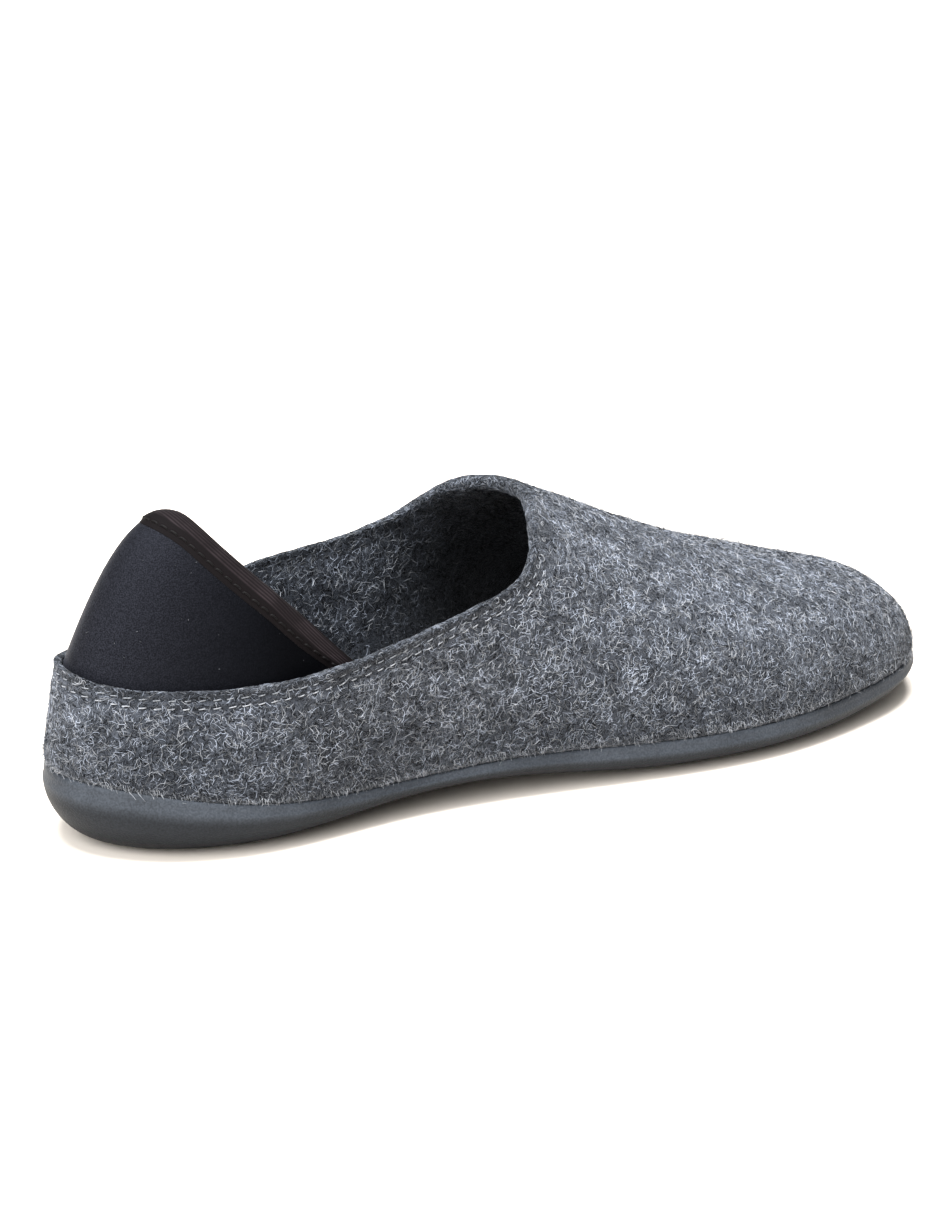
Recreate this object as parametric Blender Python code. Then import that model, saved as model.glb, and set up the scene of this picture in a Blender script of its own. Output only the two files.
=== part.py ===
"""Right slip-on shoe: rubber sole, felt footbed, felt upper, soft heel panel and the tape on its edge.

Sizes are in millimetres and MM turns them into metres. +X points to the toe and +Z up. +Y is the
wearer's left, so the little-toe (outer) side of this right shoe is at -Y and the big-toe side at +Y.
"""

from collections import namedtuple

import bmesh
import bpy
import numpy as np

MM = 0.001

# Driving dimensions
SHOE_LENGTH = 275.0
TIP_TOWARDS_BIG_TOE = 4.5
GAP = 0.3

FELT_WALL = 3.2
FELT_EDGE = 2.1
FELT_TUCK = 0.6
SIDE_BULGE = 0.2
RIM_ROUNDING = 0.6

FOOTBED_THICKNESS = 4.0
FOOTBED_CLEARANCE = 0.9

SOLE_LIP = 1.0
SOLE_BULGE = 0.4
HEEL_ROUND_FROM = 0.2
HEEL_ROUND_IN = 17.0
FORE_ROUND_FROM = 0.3
FORE_ROUND_IN = 18.0
HEEL_FLAT = (20.0, 44.0)
FOREFOOT_FLAT = (168.0, 214.0)
HEEL_BACK_LIFT = 0.5
ARCH_LIFT = 4.0
TOE_SPRING = 7.6

PANEL_THICKNESS = 2.0
PANEL_PEAK_X = 37.0
PANEL_PEAK_Z = 81.3
PANEL_PEAK_RUN_ROUND = 0.65
PANEL_PEAK_RISE_ROUND = 0.37
PANEL_END_RISE = 2.0
PANEL_END_DIP = 0.15
PANEL_TUCK = 0.3
PANEL_BOW_RUN = 0.58
PANEL_BOW_RISE = 1.22
PANEL_END_CLEARANCE = 1.4

TAPE_THICKNESS = 0.5
TAPE_WIDTH = 8.4
TAPE_GAP = 0.3
TAPE_END_TAPER = 0.3
TAPE_PEAK_EXTRA = 0.22

# How finely each piece is divided
POINTS_AROUND = 96
POINTS_AROUND_SOLE = 80
PANEL_STEPS = 36

# Sections of the last from heel to toe. sole_x, outer and inner give the line where the felt meets the
# sole, with half widths to the outer and inner side, and collar_x, collar_outer and collar_inner give
# the collar line the same way. roof is 0 where the rib between them is a side wall and 1 on the vamp.
Section = namedtuple(
    "Section",
    "name sole_x outer inner sole_z collar_x collar_outer collar_inner outer_z inner_z roof",
)
SECTIONS = [
    Section("heel back", 0, 0, 0, 21.0, 2.0, 0, 0, 47.5, 47.5, 0),
    Section("heel curve", 9, 19.5, 20, 20.0, 10.5, 14.5, 15.5, 44.6, 46.8, 0),
    Section("heel side", 38, 33, 32.5, 14.5, 38, 29, 28, 43.2, 44.5, 0),
    Section("waist back", 80, 31.5, 31.5, 11.2, 70.5, 35, 34.8, 46.8, 53.5, 0),
    Section("waist", 120, 35.5, 31, 12.2, 100.5, 35, 33, 53.5, 58.5, 0.1),
    Section("instep", 160, 43.5, 38.5, 11.0, 122.5, 32.5, 30, 61.0, 65.0, 0.45),
    Section("ball", 195, 46.5, 45.5, 10.7, 131.5, 23.5, 22.5, 70.5, 72.5, 0.8),
    Section("toe side", 235, 38.5, 42.5, 11.7, 137.8, 11.5, 11, 75.2, 76.2, 1),
    Section("toe corner", 263, 23, 26.5, 12.7, 140.0, 5.6, 5.5, 76.2, 76.5, 1),
    Section("toe tip", SHOE_LENGTH, 0, 0, 12.6, 140.6, 0, 0, 76.4, 76.4, 1),
]

# Side view of the vamp from the toe tip to the collar, as shares of its run and of its rise
VampStep = namedtuple("VampStep", "along run rise")
VAMP = [
    VampStep(0.0, 0.0, 0.0),
    VampStep(0.15, 0.01, 0.13),
    VampStep(0.3, 0.07, 0.26),
    VampStep(0.45, 0.15, 0.35),
    VampStep(0.6, 0.31, 0.45),
    VampStep(0.8, 0.62, 0.66),
    VampStep(1.0, 1.0, 1.0),
]

# Heights of the felt wall at which the upper is divided
WALL_STEPS = np.array([0.0, 0.06, 0.15, 0.28, 0.42, 0.56, 0.7, 0.85, 1.0])


def closed_spline(knots, values):
    """A smooth closed curve through the values, as a function of the share of the way round."""
    count = len(knots)
    steps = np.diff(np.append(knots, knots[0] + 1.0))
    slopes = (np.roll(values, -1, axis=0) - values) / steps[:, None]
    matrix = np.zeros((count, count))
    for i in range(count):
        matrix[i, i - 1] += steps[i - 1]
        matrix[i, i] += 2 * (steps[i - 1] + steps[i])
        matrix[i, (i + 1) % count] += steps[i]
    bends = np.linalg.solve(matrix, 6 * (slopes - np.roll(slopes, 1, axis=0)))

    def at(share):
        share = np.mod(share, 1.0)
        i = np.searchsorted(knots, share, side="right") - 1
        after = (i + 1) % count
        step = steps[i][:, None]
        along = (share - knots[i])[:, None]
        first = slopes[i] - step * (2 * bends[i] + bends[after]) / 6
        third = (bends[after] - bends[i]) / (6 * step)
        return values[i] + along * (first + along * (bends[i] / 2 + along * third))

    return at


def smooth_through(places, values, at):
    """Values between the rows of a short table, without corners at the rows."""
    slopes = np.gradient(values, places)
    i = np.clip(np.searchsorted(places, at, side="right") - 1, 0, len(places) - 2)
    step = places[i + 1] - places[i]
    u = (at - places[i]) / step
    start = (1 + 2 * u) * (1 - u) ** 2 * values[i] + u * (1 - u) ** 2 * step * slopes[i]
    end = u**2 * (3 - 2 * u) * values[i + 1] - u**2 * (1 - u) * step * slopes[i + 1]
    return start + end


def ease(low, high, at):
    """0 below low, 1 above high and smooth between."""
    u = np.clip((at - low) / (high - low), 0, 1)
    return u * u * (3 - 2 * u)


def round_the_shoe(heel, outer, toe, inner):
    """One row per section: heel, along the outer side to the toe, back along the inner side."""
    return np.array([heel, *outer, toe, *inner[::-1]], float)


BETWEEN = SECTIONS[1:-1]
HEEL = SECTIONS[0]
TOE = SECTIONS[-1]
SOLE_ROWS = round_the_shoe(
    (HEEL.sole_x, 0, HEEL.sole_z),
    [(s.sole_x, -s.outer, s.sole_z) for s in BETWEEN],
    (TOE.sole_x, TIP_TOWARDS_BIG_TOE, TOE.sole_z),
    [(s.sole_x, s.inner, s.sole_z) for s in BETWEEN],
)
COLLAR_ROWS = round_the_shoe(
    (HEEL.collar_x, 0, HEEL.outer_z),
    [(s.collar_x, -s.collar_outer, s.outer_z) for s in BETWEEN],
    (TOE.collar_x, 0, TOE.outer_z),
    [(s.collar_x, s.collar_inner, s.inner_z) for s in BETWEEN],
)
ROOF_ROWS = round_the_shoe(
    (HEEL.roof,), [(s.roof,) for s in BETWEEN], (TOE.roof,), [(s.roof,) for s in BETWEEN]
)

# The share of the way round at each section, the same on both sides
LAST = len(SECTIONS) - 1
CHORDS = np.linalg.norm(np.diff(SOLE_ROWS, axis=0, append=SOLE_ROWS[:1]), axis=1)
HALF_WAY = np.cumsum((CHORDS[:LAST] + CHORDS[::-1][:LAST]) / 2)
OUTER_KNOTS = np.append(0, HALF_WAY) / (2 * HALF_WAY[-1])
KNOTS = np.append(OUTER_KNOTS, 1 - OUTER_KNOTS[-2:0:-1])

sole_line = closed_spline(KNOTS, SOLE_ROWS)
collar_line = closed_spline(KNOTS, COLLAR_ROWS)
roof_share = closed_spline(KNOTS, ROOF_ROWS)


def sideways(share):
    """The level direction that points out of the shoe at each place on the sole line."""
    small = 1e-4
    along = sole_line(share + small) - sole_line(share - small)
    out = np.stack([along[:, 1], -along[:, 0], np.zeros(len(along))], axis=1)
    return out / np.linalg.norm(out, axis=1)[:, None]


def felt_outside(share, height):
    """Points on the outside of the felt, height running from 0 at the sole to 1 at the collar."""
    low = sole_line(share)
    high = collar_line(share)
    roof = np.clip(roof_share(share)[:, 0], 0, 1)
    vamp = np.array(VAMP)
    run = height + roof * (smooth_through(vamp[:, 0], vamp[:, 1], height) - height)
    rise = height + roof * (smooth_through(vamp[:, 0], vamp[:, 2], height) - height)
    bulge = SIDE_BULGE * (1 - roof) * np.sin(np.pi * height)
    tuck = FELT_TUCK * (1 - (1 - np.clip(height / 0.12, 0, 1)) ** 2) * (1 - height)
    amount = np.stack([run, run, rise], axis=1)
    return low + (high - low) * amount + sideways(share) * (bulge + tuck)[:, None]


def felt_normal(share, height):
    small = 2e-4
    above = felt_outside(share, np.minimum(height + small, 1))
    up = above - felt_outside(share, np.maximum(height - small, 0))
    along = felt_outside(share + small, height) - felt_outside(share - small, height)
    out = np.cross(along, up)
    return out / np.linalg.norm(out, axis=1)[:, None]


def inside_felt(share, height, depth):
    """Points at a depth below the outside of the felt."""
    depth = np.broadcast_to(depth, share.shape)[:, None]
    return felt_outside(share, height) - felt_normal(share, height) * depth


def wall(share, height):
    """Thickness of the felt, pressed thinner at the collar by its stitches but full at the throat."""
    throat = np.clip(roof_share(share)[:, 0], 0, 1)
    edge = FELT_EDGE + (FELT_WALL - FELT_EDGE) * throat
    return FELT_WALL + (edge - FELT_WALL) * ease(0.75, 1, height)


def ground(x):
    """Height of the underside: flat at heel and forefoot, lifted at the arch, toe and heel's back."""
    arch = np.clip((x - HEEL_FLAT[1]) / (FOREFOOT_FLAT[0] - HEEL_FLAT[1]), 0, 1)
    toe = np.clip((x - FOREFOOT_FLAT[1]) / (SHOE_LENGTH - FOREFOOT_FLAT[1]), 0, 1.1)
    back = np.clip((HEEL_FLAT[0] - x) / HEEL_FLAT[0], 0, 1.1)
    return ARCH_LIFT * np.sin(np.pi * arch) ** 2 + TOE_SPRING * toe**1.8 + HEEL_BACK_LIFT * back**2


def spread(count):
    """Places round the shoe, paired across its middle line."""
    return (np.arange(count) + 0.5) / count


def solid(name, rings, wraps, colour, roughness):
    """One closed mesh through rings of equal length, wrapped round or capped across at both ends."""
    rings = np.array(rings) * MM
    rows, count = rings.shape[:2]
    faces = []
    for row in range(rows if wraps else rows - 1):
        first = row * count
        second = (row + 1) % rows * count
        for i in range(count):
            j = (i + 1) % count
            faces.append((first + i, first + j, second + j, second + i))
    if not wraps:
        for start in (0, (rows - 1) * count):
            for i in range(count // 2 - 1):
                across = count - 1 - i
                faces.append((start + i, start + i + 1, start + across - 1, start + across))
    mesh = bpy.data.meshes.new(name)
    mesh.from_pydata(rings.reshape(-1, 3).tolist(), [], faces)
    work = bmesh.new()
    work.from_mesh(mesh)
    bmesh.ops.recalc_face_normals(work, faces=work.faces)
    work.to_mesh(mesh)
    work.free()
    mesh.shade_smooth()
    mesh.set_sharp_from_angle(angle=np.radians(40))
    material = bpy.data.materials.new(name)
    material.use_nodes = True
    shader = material.node_tree.nodes["Principled BSDF"]
    shader.inputs["Base Color"].default_value = (*colour, 1)
    shader.inputs["Roughness"].default_value = roughness
    mesh.materials.append(material)
    thing = bpy.data.objects.new(name, mesh)
    bpy.context.scene.collection.objects.link(thing)
    return thing


def sole_rings(share):
    """Rings down the sole's side: top edge, lip, then a quarter ellipse turning under to the ground."""
    line = sole_line(share)
    fore = ease(55, 150, line[:, 0])
    start = HEEL_ROUND_FROM + fore * (FORE_ROUND_FROM - HEEL_ROUND_FROM)
    inward = HEEL_ROUND_IN + fore * (FORE_ROUND_IN - HEEL_ROUND_IN)
    steps = [(0 * start, 0.2 + 0 * start), (0.2 * start, SOLE_LIP + 0 * start)]
    for turn in np.radians(np.linspace(0, 90, 7)):
        under = inward * (1 - np.cos(turn))
        steps.append((start + (1 - start) * np.sin(turn), SOLE_LIP + SOLE_BULGE - under))
    rings = []
    for down, out in steps:
        ring = line + sideways(share) * out[:, None]
        top = line[:, 2] - GAP
        ring[:, 2] = top + (ground(ring[:, 0]) - top) * down
        rings.append(ring)
    return rings


def make_outsole():
    return solid("outsole", sole_rings(spread(POINTS_AROUND_SOLE)), False, (0.09, 0.1, 0.11), 0.5)


def make_insole():
    share = spread(POINTS_AROUND_SOLE)
    edge = FELT_WALL + FOOTBED_CLEARANCE
    rings = []
    for inset, lift in ((edge, GAP), (edge, FOOTBED_THICKNESS - 1), (edge + 1.2, FOOTBED_THICKNESS)):
        ring = sole_line(share) - sideways(share) * inset
        ring[:, 2] += lift
        rings.append(ring)
    return solid("insole", rings, False, (0.12, 0.13, 0.15), 0.95)


def make_upper():
    share = spread(POINTS_AROUND)
    outside = [felt_outside(share, np.full_like(share, h)) for h in WALL_STEPS]
    inside = [inside_felt(share, np.full_like(share, h), wall(share, h)) for h in WALL_STEPS]
    inside[0][:, 2] = outside[0][:, 2]
    rim = (outside[-1] + inside[-1]) / 2
    rim += np.array([0, 0, RIM_ROUNDING])
    return solid("upper", outside + [rim] + inside[::-1], True, (0.16, 0.18, 0.2), 0.95)


def rounded(reach, softness):
    """From 0 to 1 with reach, level at the start over about the softness and nearly straight after it."""
    return (np.hypot(reach, softness) - softness) / (np.hypot(1, softness) - softness)


def panel_middle(across):
    """The panel's middle surface. across runs from -1 on the inner side, over the heel's back, to 1."""
    share = across * OUTER_KNOTS[3]
    clear = GAP + PANEL_END_CLEARANCE * ease(0.65, 0.88, np.abs(across))
    inward = clear + PANEL_THICKNESS / 2
    leaves = 1 - PANEL_END_DIP * ease(0.5, 0.95, np.abs(across))
    levels = [leaves - below for below in np.linspace(PANEL_TUCK, 0, 4)]
    rows = [inside_felt(share, level, wall(share, level) + inward) for level in levels]
    foot = rows[-1]
    upward = foot - rows[-2]
    upward *= PANEL_END_RISE / np.linalg.norm(upward, axis=1)[:, None]
    end = (foot + upward)[np.where(across > 0, -1, 0)]
    peak = np.array([PANEL_PEAK_X, 0, PANEL_PEAK_Z])
    reach = np.abs(across)[:, None]
    run = rounded(reach, PANEL_PEAK_RUN_ROUND)
    rise = rounded(reach, PANEL_PEAK_RISE_ROUND)
    edge = peak + (end - peak) * np.concatenate([run, reach, rise], axis=1)
    curl = np.array([PANEL_BOW_RUN, PANEL_BOW_RUN, PANEL_BOW_RISE])
    bow = foot + (edge - foot) * (curl + (0.5 - curl) * ease(0.6, 0.95, reach))
    for u in np.linspace(0, 1, 9)[1:]:
        rows.append((1 - u) ** 2 * foot + 2 * u * (1 - u) * bow + u**2 * edge)
    return np.array(rows)


def panel_frame():
    """Places across the panel, its middle points there and its outward direction at each point."""
    even = np.linspace(-1, 1, PANEL_STEPS + 1)
    across = (even + np.sin(np.pi / 2 * even)) / 2
    middle = panel_middle(across)
    up = np.gradient(middle, axis=0)
    along = np.gradient(middle, axis=1)
    out = np.cross(along, up)
    for _ in range(4):
        out /= np.linalg.norm(out, axis=2)[:, :, None]
        out[:, 1:-1] = (out[:, :-2] + 2 * out[:, 1:-1] + out[:, 2:]) / 4
        out[:, 0] = out[:, 1]
        out[:, -1] = out[:, -2]
    return across, middle, out / np.linalg.norm(out, axis=2)[:, :, None]


def make_heel_panel():
    _, middle, out = panel_frame()
    half = PANEL_THICKNESS / 2
    rings = []
    for i in range(middle.shape[1]):
        outside = middle[:, i] + out[:, i] * half
        inside = middle[:, i] - out[:, i] * half
        rings.append(np.concatenate([outside, inside[::-1]]))
    return solid("heel_panel", rings, False, (0.012, 0.013, 0.018), 0.8)


def make_heel_tape():
    """A tape folded over the panel's free edge, placed by its distance down the panel from that edge."""
    across, middle, out = panel_frame()
    near = PANEL_THICKNESS / 2 + TAPE_GAP
    far = near + TAPE_THICKNESS
    fold_out = np.array([1, 0.85, 0, -0.85, -1])
    fold_up = np.array([0, 0.8, 1, 0.8, 0])
    width = TAPE_WIDTH * (1 - TAPE_END_TAPER * ease(0.6, 0.97, np.abs(across)))
    width *= 1 + TAPE_PEAK_EXTRA * (1 - ease(0.0, 0.3, np.abs(across)))
    leg = np.linspace(1, 0.125, 8)
    rings = []
    for i in range(1, middle.shape[1] - 1):
        down = width[i] * np.concatenate([leg, np.zeros(5), leg[::-1]])
        line = middle[::-1, i]
        distance = np.append(0, np.cumsum(np.linalg.norm(np.diff(line, axis=0), axis=1)))
        beyond = (line[0] - line[1]) / np.linalg.norm(line[0] - line[1])
        ring = []
        for half, top in ((far, TAPE_GAP + TAPE_THICKNESS), (near, TAPE_GAP)):
            offset = half * np.concatenate([np.ones(8), fold_out, -np.ones(8)])
            above = top * np.concatenate([np.zeros(8), fold_up, np.zeros(8)])
            points = np.stack([np.interp(down, distance, line[:, k]) for k in range(3)], axis=1)
            facing = np.stack([np.interp(down, distance, out[::-1, i, k]) for k in range(3)], axis=1)
            points = points + facing * offset[:, None] + beyond * above[:, None]
            ring.append(points)
        rings.append(np.concatenate([ring[0], ring[1][::-1]]))
    return solid("heel_tape", rings, False, (0.02, 0.018, 0.02), 0.85)


def centre_on_footprint(things):
    """Moves everything so that the middle of the footprint is at the origin."""
    corners = np.array([v.co for thing in things for v in thing.data.vertices])
    low = corners.min(axis=0)
    middle = (low + corners.max(axis=0)) / 2
    for thing in things:
        for vertex in thing.data.vertices:
            vertex.co.x -= middle[0]
            vertex.co.y -= middle[1]
            vertex.co.z -= low[2]


for old in list(bpy.data.objects):
    bpy.data.objects.remove(old, do_unlink=True)

centre_on_footprint([make_outsole(), make_insole(), make_upper(), make_heel_panel(), make_heel_tape()])
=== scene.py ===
from collections import namedtuple

import bpy
import numpy as np
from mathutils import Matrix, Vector
from mathutils.bvhtree import BVHTree


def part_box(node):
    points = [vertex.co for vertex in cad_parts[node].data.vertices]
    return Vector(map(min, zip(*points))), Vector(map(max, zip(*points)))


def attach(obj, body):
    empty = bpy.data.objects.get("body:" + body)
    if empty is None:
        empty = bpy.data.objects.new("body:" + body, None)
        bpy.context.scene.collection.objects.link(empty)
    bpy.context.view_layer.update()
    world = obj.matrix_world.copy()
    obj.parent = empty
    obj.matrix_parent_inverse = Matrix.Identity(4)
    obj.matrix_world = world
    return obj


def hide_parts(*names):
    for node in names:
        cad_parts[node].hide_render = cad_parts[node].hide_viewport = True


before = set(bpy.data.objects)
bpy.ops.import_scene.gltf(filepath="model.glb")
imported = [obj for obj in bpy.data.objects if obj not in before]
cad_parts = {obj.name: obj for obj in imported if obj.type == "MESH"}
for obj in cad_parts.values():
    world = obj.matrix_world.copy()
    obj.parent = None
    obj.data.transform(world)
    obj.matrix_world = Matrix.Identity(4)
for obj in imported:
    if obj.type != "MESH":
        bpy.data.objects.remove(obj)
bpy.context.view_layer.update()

# The camera stands off the outer side of a right shoe, towards its heel and a little above its collar.
# It looks at the middle of the shoe, and the lens shift puts that point where the photograph has it.
MM = 0.001
CAMERA_TURN = np.radians(34.0)
CAMERA_RISE = np.radians(17.0)
CAMERA_DISTANCE = 890 * MM
CAMERA_TARGET = Vector((-0.5, 0.35, 35.0)) * MM
PICTURE_WIDTH = 950
PICTURE_HEIGHT = 1216
TARGET_COLUMN = 505.9
TARGET_ROW = 629.4
FOCAL_LENGTH_IN_PIXELS = 3247
SENSOR_SIZE = 36

camera_lens = bpy.data.cameras.new("camera")
camera_lens.sensor_width = SENSOR_SIZE
camera_lens.lens = FOCAL_LENGTH_IN_PIXELS / PICTURE_HEIGHT * SENSOR_SIZE
camera_lens.shift_x = (PICTURE_WIDTH / 2 - TARGET_COLUMN) / PICTURE_HEIGHT
camera_lens.shift_y = (TARGET_ROW - PICTURE_HEIGHT / 2) / PICTURE_HEIGHT
towards_camera = Vector(
    (
        -np.sin(CAMERA_TURN) * np.cos(CAMERA_RISE),
        -np.cos(CAMERA_TURN) * np.cos(CAMERA_RISE),
        np.sin(CAMERA_RISE),
    )
)
camera = bpy.data.objects.new("camera", camera_lens)
camera.location = CAMERA_TARGET + towards_camera * CAMERA_DISTANCE
camera.rotation_euler = (-towards_camera).to_track_quat("-Z", "Y").to_euler()
bpy.context.scene.collection.objects.link(camera)
bpy.context.scene.camera = camera


# Outsole: one moulded piece of satin slate-grey rubber, thick and round under the heel and thinner
# under the forefoot, with a small lip round the felt. It is glued to the underside of the upper.
SHOE_LENGTH = 275.0
TIP_TOWARDS_BIG_TOE = 4.5
GAP = 0.3
SOLE_LIP = 1.0
SOLE_LIP_START = 0.2
SOLE_BULGE = 0.4
HEEL_ROUND_FROM = 0.2
HEEL_ROUND_IN = 17.0
FORE_ROUND_FROM = 0.3
FORE_ROUND_IN = 18.0
HEEL_FLAT = (20.0, 44.0)
FOREFOOT_FLAT = (168.0, 214.0)
HEEL_TO_FORE = (55.0, 150.0)
HEEL_BACK_LIFT = 0.5
HEEL_BACK_CURVE = 2
ARCH_LIFT = 4.0
TOE_SPRING = 7.6
TOE_CURVE = 1.8
PAST_THE_END = 1.1
SOLID_POINTS_AROUND_SOLE = 80
POINTS_AROUND_SOLE = 360
LIP_STEPS = 5
LIP_DROP = 0.7
UNDER_STEPS = 22
TOP_NARROWING = (0.04, 0.5, 0.9)
UNDER_NARROWING = (0.9, 0.6, 0.3, 0.04)
RUBBER_COLOUR = (0.003, 0.0035, 0.0045, 1)
# Dust colour, also the colour of the painted light up the side and the painted highlight on the top edge
RUBBER_DUST_AND_HIGHLIGHT_COLOUR = (0.078, 0.089, 0.106, 1)

# A ramp takes values between low and high smoothly to values between to_low and to_high
Ramp = namedtuple("Ramp", "low high to_low to_high")
DUST_IN_CLOUDS = Ramp(0.3, 0.75, 0.3, 0.42)
# Painted light makes the side lighter towards the top, and a painted highlight runs along the top edge
PAINTED_LIGHT_DOWN_SIDE = Ramp(0.2, 0.85, 0.3, 0.52)
PAINTED_HIGHLIGHT_ON_EDGE = Ramp(0.84, 1.04, 0.0, 1.0)
RUBBER_SPECKLE = Ramp(0.3, 0.7, 0.8, 1.2)
RUBBER_ROUGHNESS = Ramp(0.25, 0.75, 0.46, 0.58)

# Sections of the last from heel to toe: the line where felt meets sole, with half widths to the outer
# and inner side, the collar line given the same way, and roof, which is 1 where the rib is the vamp
Section = namedtuple(
    "Section",
    "name sole_x outer inner sole_z collar_x collar_outer collar_inner outer_z inner_z roof",
)
SECTIONS = [
    Section("heel back", 0, 0, 0, 21.0, 2.0, 0, 0, 47.5, 47.5, 0),
    Section("heel curve", 9, 19.5, 20, 20.0, 10.5, 14.5, 15.5, 44.6, 46.8, 0),
    Section("heel side", 38, 33, 32.5, 14.5, 38, 29, 28, 43.2, 44.5, 0),
    Section("waist back", 80, 31.5, 31.5, 11.2, 70.5, 35, 34.8, 46.8, 53.5, 0),
    Section("waist", 120, 35.5, 31, 12.2, 100.5, 35, 33, 53.5, 58.5, 0.1),
    Section("instep", 160, 43.5, 38.5, 11.0, 122.5, 32.5, 30, 61.0, 65.0, 0.45),
    Section("ball", 195, 46.5, 45.5, 10.7, 131.5, 23.5, 22.5, 70.5, 72.5, 0.8),
    Section("toe side", 235, 38.5, 42.5, 11.7, 137.8, 11.5, 11, 75.2, 76.2, 1),
    Section("toe corner", 263, 23, 26.5, 12.7, 140.0, 5.6, 5.5, 76.2, 76.5, 1),
    Section("toe tip", SHOE_LENGTH, 0, 0, 12.6, 140.6, 0, 0, 76.4, 76.4, 1),
]
BETWEEN = SECTIONS[1:-1]
HEEL = SECTIONS[0]
TOE = SECTIONS[-1]


def closed_spline(knots, values):
    """A smooth closed curve through the values, as a function of the share of the way round."""
    count = len(knots)
    steps = np.diff(np.append(knots, knots[0] + 1.0))
    slopes = (np.roll(values, -1, axis=0) - values) / steps[:, None]
    matrix = np.zeros((count, count))
    for i in range(count):
        matrix[i, i - 1] += steps[i - 1]
        matrix[i, i] += 2 * (steps[i - 1] + steps[i])
        matrix[i, (i + 1) % count] += steps[i]
    bends = np.linalg.solve(matrix, 6 * (slopes - np.roll(slopes, 1, axis=0)))

    def at(share):
        share = np.mod(share, 1.0)
        i = np.searchsorted(knots, share, side="right") - 1
        after = (i + 1) % count
        step = steps[i][:, None]
        along = (share - knots[i])[:, None]
        first = slopes[i] - step * (2 * bends[i] + bends[after]) / 6
        third = (bends[after] - bends[i]) / (6 * step)
        return values[i] + along * (first + along * (bends[i] / 2 + along * third))

    return at


def ease(low, high, at):
    """0 below low, 1 above high and smooth between."""
    u = np.clip((at - low) / (high - low), 0, 1)
    return u * u * (3 - 2 * u)


def blend(ends, amount):
    """From the first of two values to the second as the amount goes from 0 to 1."""
    return ends[0] + (ends[1] - ends[0]) * amount


def unit(vectors):
    """The same directions, each with a length of 1."""
    return vectors / np.linalg.norm(vectors, axis=-1)[..., None]


def round_the_shoe(heel, outer, toe, inner):
    """One row per section: heel, along the outer side to the toe, back along the inner side."""
    return np.array([heel, *outer, toe, *inner[::-1]], float)


def spread(count):
    """Places round the shoe, paired across its middle line."""
    return (np.arange(count) + 0.5) / count


SOLE_ROWS = round_the_shoe(
    (HEEL.sole_x, 0, HEEL.sole_z),
    [(s.sole_x, -s.outer, s.sole_z) for s in BETWEEN],
    (TOE.sole_x, TIP_TOWARDS_BIG_TOE, TOE.sole_z),
    [(s.sole_x, s.inner, s.sole_z) for s in BETWEEN],
)
LAST = len(SECTIONS) - 1
CHORDS = np.linalg.norm(np.diff(SOLE_ROWS, axis=0, append=SOLE_ROWS[:1]), axis=1)
HALF_WAY = np.cumsum((CHORDS[:LAST] + CHORDS[::-1][:LAST]) / 2)
OUTER_KNOTS = np.append(0, HALF_WAY) / (2 * HALF_WAY[-1])
KNOTS = np.append(OUTER_KNOTS, 1 - OUTER_KNOTS[-2:0:-1])
sole_line = closed_spline(KNOTS, SOLE_ROWS)


def sideways(share):
    """The level direction that points out of the shoe at each place on the sole line."""
    small = 1e-4
    along = sole_line(share + small) - sole_line(share - small)
    return unit(np.stack([along[:, 1], -along[:, 0], np.zeros(len(along))], axis=1))


def ground(x):
    """Height of the underside: flat at heel and forefoot, lifted at the arch, toe and heel's back."""
    arch = np.clip((x - HEEL_FLAT[1]) / (FOREFOOT_FLAT[0] - HEEL_FLAT[1]), 0, 1)
    toe = np.clip((x - FOREFOOT_FLAT[1]) / (SHOE_LENGTH - FOREFOOT_FLAT[1]), 0, PAST_THE_END)
    back = np.clip((HEEL_FLAT[0] - x) / HEEL_FLAT[0], 0, PAST_THE_END)
    lifted = ARCH_LIFT * np.sin(np.pi * arch) ** 2
    return lifted + TOE_SPRING * toe**TOE_CURVE + HEEL_BACK_LIFT * back**HEEL_BACK_CURVE


def sole_rings(share, lip_steps=1, under_steps=6, lip_drop=0.2):
    """Rings down the sole's side: top edge, lip, then a quarter ellipse turning under to the ground.

    Without other numbers they are the rings of the solid itself.
    """
    line = sole_line(share)
    fore = ease(*HEEL_TO_FORE, line[:, 0])
    start = blend((HEEL_ROUND_FROM, FORE_ROUND_FROM), fore)
    inward = blend((HEEL_ROUND_IN, FORE_ROUND_IN), fore)
    steps = []
    for turn in np.radians(np.linspace(0, 90, lip_steps + 1)):
        lip = blend((SOLE_LIP_START, SOLE_LIP), np.sin(turn))
        steps.append((lip_drop * start * (1 - np.cos(turn)), lip + 0 * start))
    for turn in np.radians(np.linspace(0, 90, under_steps + 1)):
        under = inward * (1 - np.cos(turn))
        steps.append((start + (1 - start) * np.sin(turn), SOLE_LIP + SOLE_BULGE - under))
    rings = []
    for down, out in steps:
        ring = line + sideways(share) * out[:, None]
        top = line[:, 2] - GAP
        ring[:, 2] = top + (ground(ring[:, 0]) - top) * down
        rings.append(ring)
    return np.array(rings)


def narrowed(ring, shares):
    """Copies of a ring drawn in towards the shoe's middle line, for a face that closes it."""
    middle = (ring + ring[::-1]) / 2
    return [middle + (ring - middle) * share for share in shares]


# The solids are centred on the footprint, so everything here moves by the same amount
solid_sole = sole_rings(spread(SOLID_POINTS_AROUND_SOLE)).reshape(-1, 3)
TO_FRAME = np.array(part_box("outsole")[0]) / MM - solid_sole.min(axis=0)


def mesh_piece(name, points, faces):
    """A smooth mesh object from points in millimetres of the last, placed in the frame."""
    mesh = bpy.data.meshes.new(name)
    mesh.from_pydata(((points.reshape(-1, 3) + TO_FRAME) * MM).tolist(), [], faces)
    mesh.shade_smooth()
    piece = bpy.data.objects.new(name, mesh)
    bpy.context.scene.collection.objects.link(piece)
    return piece


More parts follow.
